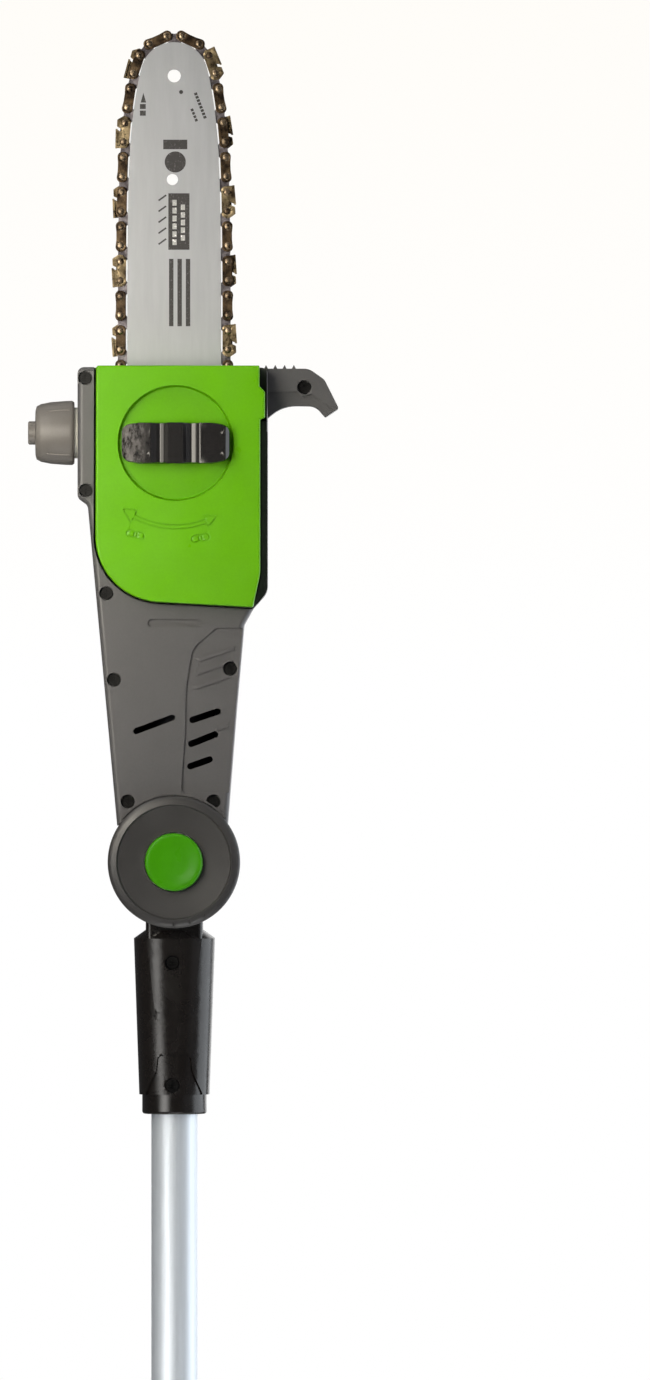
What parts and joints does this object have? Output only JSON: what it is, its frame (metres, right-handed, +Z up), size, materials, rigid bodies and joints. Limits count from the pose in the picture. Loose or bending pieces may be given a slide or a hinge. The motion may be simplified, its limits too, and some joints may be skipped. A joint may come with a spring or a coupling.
{
  "type": "telescoping pole saw",
  "caption": "Cordless telescoping pole saw: chainsaw head with guide bar, tilting neck, telescoping tube, rear handle and battery.",
  "frame": {"origin": "on the pole's axis at the middle of the rear hand grip", "axes": "+Z up the pole towards the guide bar, +X the underside that the head folds towards, -Y the sprocket cover's side"},
  "size_m": [0.1707, 0.0885, 1.6894],
  "materials": {
    "grey_plastic": "satin",
    "green_plastic": "satin",
    "black_gloss": "gloss",
    "black_plastic": "satin",
    "battery_grey": "satin",
    "green_control": "satin",
    "trigger_plastic": "satin",
    "soft_rubber": "matte",
    "foam_grip": "matte",
    "tube_aluminium": "satin",
    "bar_steel": "satin",
    "chain_link_steel": "satin",
    "chain_cutter_steel": "gloss",
    "chain_rivet_steel": "satin",
    "hardened_steel": "satin",
    "black_screws": "satin",
    "motor_steel": "satin",
    "white_nylon": "satin",
    "tank_plastic": "satin",
    "cell_wrap": "satin",
    "terminal_brass": "satin",
    "cable_rubber": "matte"
  },
  "bodies": {
    "handle": {"lower_tube": "tube_aluminium", "lock_collar": "black_plastic", "collar_bush": "white_nylon", "clamp_bolt": "hardened_steel", "front_grip": "foam_grip", "strap_clamp": "black_plastic", "rear_handle_left": "black_plastic", "rear_handle_right": "black_plastic", "handle_soft_grip": "soft_rubber", "handle_screws": "black_screws", "trigger_pin": "hardened_steel", "power_switch": "black_plastic", "battery_terminals": "terminal_brass", "pole_cable": "cable_rubber"},
    "battery": {"battery_case": "battery_grey", "battery_base": "black_plastic", "battery_cells": "cell_wrap"},
    "battery_latch": {"battery_latch": "green_control"},
    "trigger": {"trigger": "trigger_plastic"},
    "lock_off_button": {"lock_off_button": "green_control"},
    "clamp_lever": {"clamp_lever": "black_plastic"},
    "strap_ring": {"strap_ring": "hardened_steel"},
    "upper_pole": {"upper_tube": "tube_aluminium", "guide_bush": "white_nylon", "neck_front": "black_gloss", "neck_rear": "black_gloss", "neck_screws": "black_screws", "detent_ring": "hardened_steel"},
    "head": {"housing_front": "grey_plastic", "housing_rear": "grey_plastic", "housing_screws": "black_screws", "pivot_disc_front": "grey_plastic", "pivot_disc_rear": "grey_plastic", "pivot_bolt": "hardened_steel", "bar_mount_plate": "hardened_steel", "bar_stud": "hardened_steel", "cover_seal": "soft_rubber", "oil_tank": "tank_plastic", "motor_can": "motor_steel", "shaft_bearings": "hardened_steel"},
    "pivot_button": {"pivot_button": "green_plastic", "lock_plate": "hardened_steel", "pivot_spring": "hardened_steel"},
    "cover": {"sprocket_cover": "green_plastic"},
    "cover_knob": {"cover_knob": "black_gloss", "knob_nut": "hardened_steel"},
    "oil_cap_seal": {"oil_cap_seal": "soft_rubber"},
    "oil_cap": {"oil_cap": "grey_plastic"},
    "bar": {"guide_bar": "bar_steel", "chain_cutters": "chain_cutter_steel", "chain_tie_straps": "chain_link_steel", "chain_drive_links": "chain_link_steel", "chain_rivets": "chain_rivet_steel"},
    "nose": {"nose_sprocket": "hardened_steel"},
    "motor": {"motor_rotor": "motor_steel", "motor_pinion": "hardened_steel", "cooling_fan": "white_nylon"},
    "drive": {"bevel_gear": "hardened_steel", "drive_shaft": "hardened_steel", "drive_sprocket": "hardened_steel"}
  },
  "joints": [
    {"name": "pole_extend", "type": "slide", "parent": "handle", "child": "upper_pole", "axis": [0, 0, 1], "range_m": [0, 0.54], "deforming": ["pole_cable"]},
    {"name": "head_tilt", "type": "hinge", "parent": "upper_pole", "child": "head", "pos_m": [0, 0, 1.045], "axis": [0, 1, 0], "range_deg": [0, 30]},
    {"name": "pivot_button_press", "type": "slide", "parent": "head", "child": "pivot_button", "axis": [0, 1, 0], "range_m": [0, 0.0035], "stiffness_N_per_m": 1200, "springref_m": -0.003, "deforming": ["pivot_spring"]},
    {"name": "cover_lift", "type": "slide", "parent": "head", "child": "cover", "axis": [0, -1, 0], "range_m": [0, 0.06]},
    {"name": "knob_turn", "type": "hinge", "parent": "cover", "child": "cover_knob", "pos_m": [0.001, -0.042, 1.2745], "axis": [0, -1, 0], "continuous": true},
    {"name": "oil_cap_lift", "type": "slide", "parent": "head", "child": "oil_cap_seal", "axis": [-1, 0, 0], "range_m": [0, 0.009]},
    {"name": "oil_cap_turn", "type": "hinge", "parent": "oil_cap_seal", "child": "oil_cap", "pos_m": [-0.07, 0.006, 1.2808], "axis": [-1, 0, 0], "range_deg": [0, 1080]},
    {"name": "bar_tension", "type": "slide", "parent": "head", "child": "bar", "axis": [0, 0, 1], "range_m": [0, 0.004], "deforming": ["chain_cutters", "chain_tie_straps", "chain_drive_links", "chain_rivets"]},
    {"name": "nose_spin", "type": "hinge", "parent": "bar", "child": "nose", "pos_m": [0, -0.014, 1.4765], "axis": [0, 1, 0], "continuous": true},
    {"name": "motor_spin", "type": "hinge", "parent": "head", "child": "motor", "pos_m": [0, 0.011, 1.13], "axis": [0, 0, 1], "continuous": true},
    {"name": "drive_spin", "type": "hinge", "parent": "head", "child": "drive", "pos_m": [0, 0.003, 1.229], "axis": [0, 1, 0], "continuous": true},
    {"name": "battery_slide", "type": "slide", "parent": "handle", "child": "battery", "axis": [0, 0, -1], "range_m": [0, 0.06]},
    {"name": "battery_latch_press", "type": "slide", "parent": "battery", "child": "battery_latch", "axis": [-1, 0, 0], "range_m": [0, 0.0012], "stiffness_N_per_m": 2000, "springref_m": -0.002},
    {"name": "trigger_pull", "type": "hinge", "parent": "handle", "child": "trigger", "pos_m": [0.008, 0, 0.066], "axis": [0, 1, 0], "range_deg": [0, 7], "stiffness_Nm_per_rad": 1.5, "springref_deg": -8.59},
    {"name": "lock_off_press", "type": "slide", "parent": "handle", "child": "lock_off_button", "axis": [1, 0, 0], "range_m": [0, 0.004], "stiffness_N_per_m": 800, "springref_m": -0.003},
    {"name": "clamp_open", "type": "hinge", "parent": "handle", "child": "clamp_lever", "pos_m": [0.027, 0, 0.7225], "axis": [0, 0, 1], "range_deg": [0, 100]},
    {"name": "strap_ring_swing", "type": "hinge", "parent": "handle", "child": "strap_ring", "pos_m": [-0.028, 0, 0.32], "axis": [0, 1, 0], "range_deg": [-12, 90]}
  ],
  "couplings": [
    {"joint": "oil_cap_turn", "follows": "oil_cap_lift", "rad_per_m": 2094.4},
    {"joint": "drive_spin", "follows": "motor_spin", "ratio": -0.33333},
    {"joint": "nose_spin", "follows": "motor_spin", "ratio": -0.28571}
  ]
}
